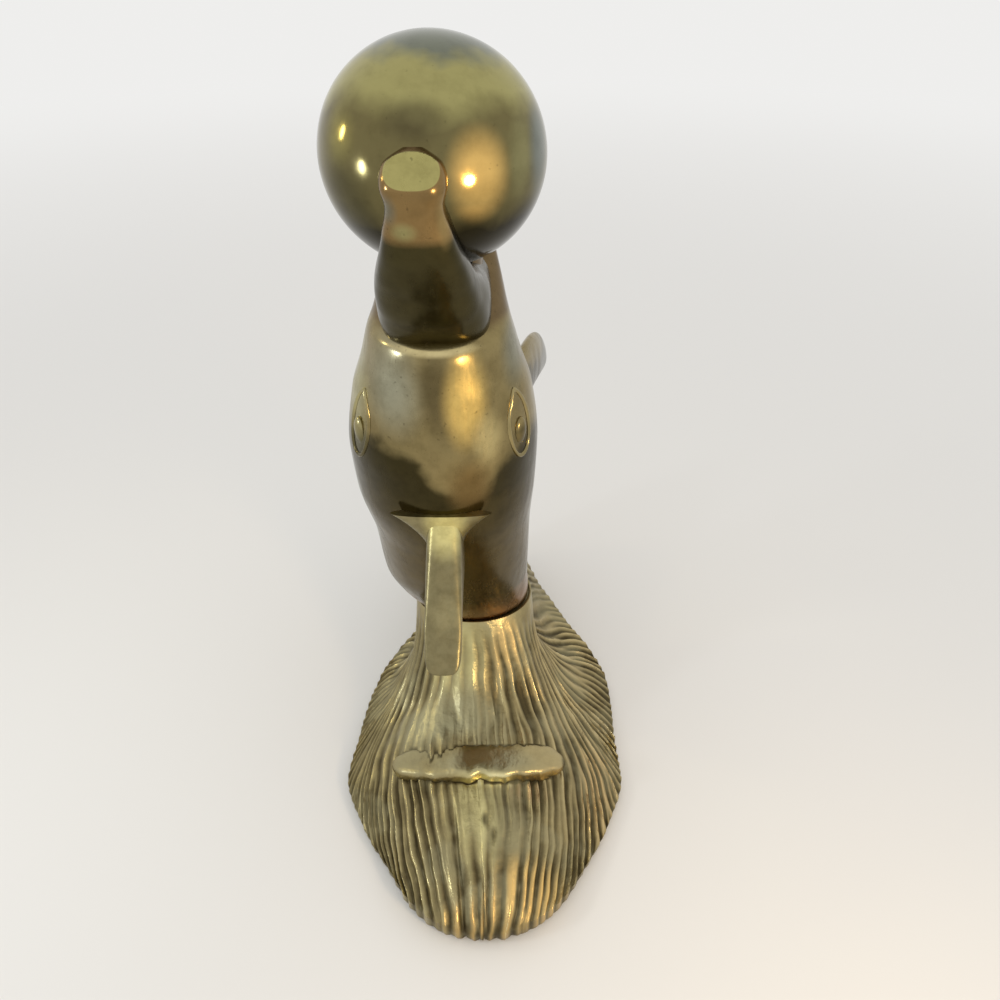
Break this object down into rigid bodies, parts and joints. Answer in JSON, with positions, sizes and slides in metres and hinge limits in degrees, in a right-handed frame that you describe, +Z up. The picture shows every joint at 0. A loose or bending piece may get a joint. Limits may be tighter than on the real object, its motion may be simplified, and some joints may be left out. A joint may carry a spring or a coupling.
{
  "type": "dolphin figurine",
  "caption": "Cast brass dolphin rising upright from a stranded wave base, with a polished ball held between its open jaws.",
  "frame": {"origin": "middle of the wave base's outline, on the flat that the figurine stands on", "axes": "+Z up from the table to the ball, +Y towards the belly, the flippers and the wave's high end, -Y towards the dorsal fin and the wave's low nose, +X to the right when the back is seen from -Y"},
  "size_m": [0.1077, 0.192, 0.2517],
  "materials": {
    "polished_body_brass": "polished and lacquered, with darker patina lower down",
    "satin_fin_brass": "satin, lightly worn",
    "worn_wave_brass": "cast strands with dark patina in the grooves and worn bright ridges",
    "mirror_ball_brass": "mirror polished",
    "zinc_steel": "zinc plated"
  },
  "bodies": {
    "root": {"wave_base": "worn_wave_brass", "dolphin_body": "polished_body_brass", "dorsal_fin": "satin_fin_brass", "flipper_left": "polished_body_brass", "flipper_right": "polished_body_brass", "held_ball": "mirror_ball_brass", "ball_pin": "polished_body_brass", "fixing_stud": "zinc_steel", "fixing_washer": "zinc_steel", "fixing_nut": "zinc_steel"}
  },
  "joints": []
}
